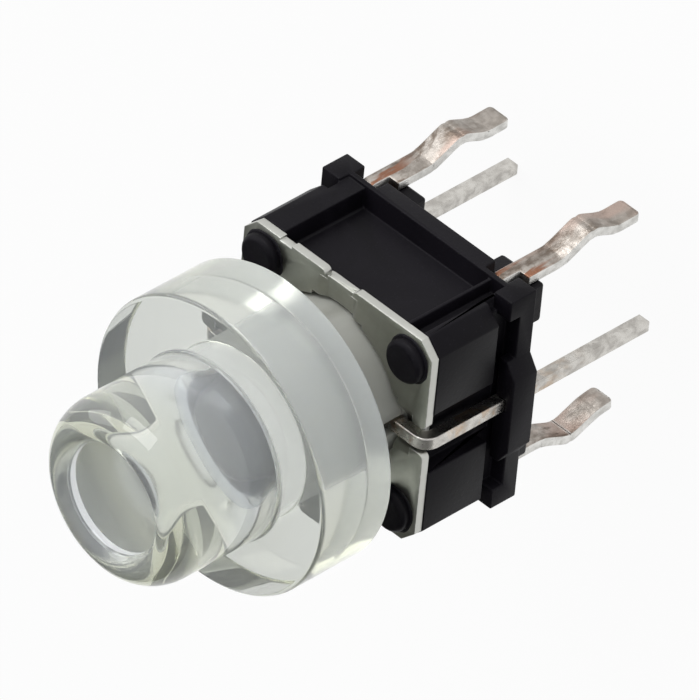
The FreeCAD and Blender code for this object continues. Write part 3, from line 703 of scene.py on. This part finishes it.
def dressed_pieces():
    """The CAD's own shapes with joined faces, rounded edges and their materials."""
    rows = [  # piece, node, material, slot, edge width in millimetres, body, reshaping
        ("housing_moulding", "housing", NYLON, "black_nylon", 0.035, "base", None),
        ("rolled_cover_plate", "cover_plate", PLATE, "plate_steel", 0.012, "base", None),
        ("outer_strip", "outer_contact", BRONZE, "tinned_bronze", 0.03, "base", softly_bent),
        ("centre_strip", "centre_contact", BRONZE, "tinned_bronze", 0.03, "base", softly_bent),
        ("plunger_moulding", "plunger", ACETAL, "white_acetal", 0.03, "button", None),
    ]
    for name, cad, material, slot_name, width, body, reshape in rows:
        piece = dressed_copy(name, cad, material, width, reshape)
        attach(piece, body)


def build_formed_heads():
    """Geometry nodes: a low, uneven collar of melted plastic at each corner of a rectangle."""
    tree = bpy.data.node_groups.new("formed_heads", "GeometryNodeTree")
    tree.is_modifier = True
    for label in ("Half Length", "Half Width", "Seat Height", "Radius", "Height", "Unevenness",
                  "Seed"):
        tree.interface.new_socket(label, in_out="INPUT", socket_type="NodeSocketFloat")
    tree.interface.new_socket("Material", in_out="INPUT", socket_type="NodeSocketMaterial")
    tree.interface.new_socket("Geometry", in_out="OUTPUT", socket_type="NodeSocketGeometry")
    given, out = tree.nodes.new("NodeGroupInput"), tree.nodes.new("NodeGroupOutput")
    link = tree.links.new

    corners = node(tree, "GeometryNodeMeshGrid", Vertices_X=2, Vertices_Y=2)
    for socket, size in (("Size X", "Half Length"), ("Size Y", "Half Width")):
        link(arithmetic(tree, "MULTIPLY", given.outputs[size], 2.0), corners.inputs[socket])
    drop = node(tree, "GeometryNodeMeshUVSphere", Segments=48, Rings=20, Radius=1.0)
    size = node(tree, "ShaderNodeCombineXYZ")
    for axis, label in (("X", "Radius"), ("Y", "Radius"), ("Z", "Height")):
        link(given.outputs[label], size.inputs[axis])
    placed = node(tree, "GeometryNodeInstanceOnPoints")
    link(corners.outputs["Mesh"], placed.inputs["Points"])
    link(drop.outputs["Mesh"], placed.inputs["Instance"])
    link(size.outputs[0], placed.inputs["Scale"])
    joined = node(tree, "GeometryNodeRealizeInstances")
    link(placed.outputs["Instances"], joined.inputs["Geometry"])

    ripple = node(tree, "ShaderNodeTexNoise", noise_dimensions="4D", Scale=2600.0, Detail=1.0)
    link(given.outputs["Seed"], ripple.inputs["W"])
    wave = arithmetic(tree, "SUBTRACT", ripple.outputs["Fac"], 0.5)
    reach = arithmetic(tree, "MULTIPLY", given.outputs["Unevenness"], given.outputs["Radius"])
    push = arithmetic(tree, "MULTIPLY", wave, reach)
    outward = node(tree, "ShaderNodeSeparateXYZ")
    link(node(tree, "GeometryNodeInputNormal").outputs[0], outward.inputs[0])
    offset = node(tree, "ShaderNodeCombineXYZ")
    for axis in ("X", "Y"):
        link(arithmetic(tree, "MULTIPLY", outward.outputs[axis], push), offset.inputs[axis])
    rippled = node(tree, "GeometryNodeSetPosition")
    link(joined.outputs["Geometry"], rippled.inputs["Geometry"])
    link(offset.outputs[0], rippled.inputs["Offset"])

    spot = node(tree, "ShaderNodeSeparateXYZ")
    link(node(tree, "GeometryNodeInputPosition").outputs[0], spot.inputs[0])
    seated = node(tree, "ShaderNodeCombineXYZ")
    for axis in ("X", "Y"):
        link(spot.outputs[axis], seated.inputs[axis])
    above = arithmetic(tree, "MAXIMUM", spot.outputs["Z"], -FLASH_SINK * MM)
    link(arithmetic(tree, "ADD", above, given.outputs["Seat Height"]), seated.inputs["Z"])
    set_down = node(tree, "GeometryNodeSetPosition")
    link(rippled.outputs["Geometry"], set_down.inputs["Geometry"])
    link(seated.outputs[0], set_down.inputs["Position"])
    whole = node(tree, "GeometryNodeRealizeInstances")
    finish = node(tree, "GeometryNodeSetMaterial")
    link(set_down.outputs["Geometry"], whole.inputs["Geometry"])
    link(whole.outputs["Geometry"], finish.inputs["Geometry"])
    link(given.outputs["Material"], finish.inputs["Material"])
    link(finish.outputs["Geometry"], out.inputs["Geometry"])
    return tree


def stake_flash():
    """The melted collars round the four stakes, on the cover plate."""
    piece = bpy.data.objects.new("stake_flash", bpy.data.meshes.new("stake_flash"))
    bpy.context.scene.collection.objects.link(piece)
    made = piece.modifiers.new("collars", "NODES")
    made.node_group = build_formed_heads()
    values = {"Half Length": STAKE_X * MM, "Half Width": STAKE_Y * MM,
              "Seat Height": PLATE_TOP * MM, "Radius": FLASH_RADIUS * MM,
              "Height": FLASH_HEIGHT * MM, "Unevenness": FLASH_UNEVENNESS,
              "Seed": FLASH_SEED, "Material": NYLON}
    for item in made.node_group.interface.items_tree:
        if item.in_out == "INPUT":
            made[item.identifier] = values[item.name]
    made_plain(piece)
    soft_and_sharp(piece, SHARP_FLASH)
    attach(piece, "base")


def carried_over():
    """The small parts of the light and the dome keep their CAD meshes and get their materials."""
    for cad, material in (("snap_dome", SPRING), ("led_cathode", LEADS), ("led_anode", LEADS),
                          ("led_chip", CRYSTAL), ("bond_wire", GOLD)):
        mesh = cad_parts[cad].data
        mesh.materials.clear()
        mesh.materials.append(material)


def floor():
    """A pale floor that camera, metal and clear plastic see as white, and that takes a shadow."""
    bm = bmesh.new()
    level = Matrix.Translation((0, 0, cad_low.z - FLOOR_DROP * MM))
    bmesh.ops.create_grid(bm, x_segments=1, y_segments=1, size=FLOOR_REACH, matrix=level)
    material = bpy.data.materials.new("pale_floor")
    material.use_nodes = True
    tree = material.node_tree
    tree.nodes.remove(tree.nodes["Principled BSDF"])
    path = node(tree, "ShaderNodeLightPath").outputs
    by_pieces = arithmetic(tree, "MAXIMUM", path["Is Glossy Ray"], path["Is Transmission Ray"])
    seen = arithmetic(tree, "MAXIMUM", path["Is Camera Ray"], by_pieces)
    matt = node(tree, "ShaderNodeBsdfDiffuse")
    matt.inputs["Color"].default_value = (*FLOOR_COLOUR, 1)
    white = node(tree, "ShaderNodeEmission", Strength=1.0)
    mix = node(tree, "ShaderNodeMixShader")
    tree.links.new(arithmetic(tree, "MULTIPLY", seen, FLOOR_WHITENESS), mix.inputs[0])
    tree.links.new(matt.outputs[0], mix.inputs[1])
    tree.links.new(white.outputs[0], mix.inputs[2])
    tree.links.new(mix.outputs[0], tree.nodes["Material Output"].inputs["Surface"])
    object_from(bm, "floor", material)


def surroundings():
    """White to the camera; a soft studio, brighter overhead and behind +Y, to everything else."""
    world = bpy.data.worlds.new("studio")
    bpy.context.scene.world = world
    world.use_nodes = True
    tree = world.node_tree
    direction = node(tree, "ShaderNodeTexCoord").outputs["Generated"]
    lean = node(tree, "ShaderNodeVectorMath", operation="DOT_PRODUCT")
    lean.inputs[1].default_value = Vector(BRIGHT_SIDE).normalized()
    tree.links.new(direction, lean.inputs[0])
    light = band(tree, lean.outputs["Value"], *STUDIO_SPREAD)
    colour = blended(tree, light, STUDIO_DIM, STUDIO_BRIGHT)
    path = node(tree, "ShaderNodeLightPath").outputs
    through = blended(tree, path["Is Transmission Ray"], colour, SEEN_THROUGH)
    shown = blended(tree, path["Is Camera Ray"], through, (1.0, 1.0, 1.0))
    tree.links.new(shown, tree.nodes["Background"].inputs["Color"])
    tree.nodes["Background"].inputs["Strength"].default_value = 1.0


def lamp(name, place, aim, size, power):
    """A soft rectangular lamp turned towards a point."""
    data = bpy.data.lights.new(name, "AREA")
    data.shape = "RECTANGLE"
    data.size, data.size_y = size
    data.energy = power
    held = bpy.data.objects.new(name, data)
    bpy.context.scene.collection.objects.link(held)
    held.location = place
    held.rotation_mode = "QUATERNION"
    held.rotation_quaternion = (Vector(aim) - Vector(place)).to_track_quat("-Z", "Y")


def camera():
    """The photograph's camera: a long lens, rolled, looking down at the cap from +X and +Y."""
    data = bpy.data.cameras.new("camera")
    data.lens = CAMERA_LENS
    data.sensor_width = CAMERA_SENSOR
    data.clip_start, data.clip_end = CAMERA_NEAR, CAMERA_FAR
    held = bpy.data.objects.new("camera", data)
    bpy.context.scene.collection.objects.link(held)
    turn = Matrix((CAMERA_RIGHT, CAMERA_UP, CAMERA_BACK)).transposed().to_4x4()
    held.matrix_world = Matrix.Translation(CAMERA_PLACE) @ turn
    bpy.context.scene.camera = held


clear_cap()
light_lens()
dressed_pieces()
stake_flash()
carried_over()
floor()
surroundings()
for row in LAMPS:
    lamp(*row)
camera()
bpy.context.scene.view_settings.view_transform = "Standard"
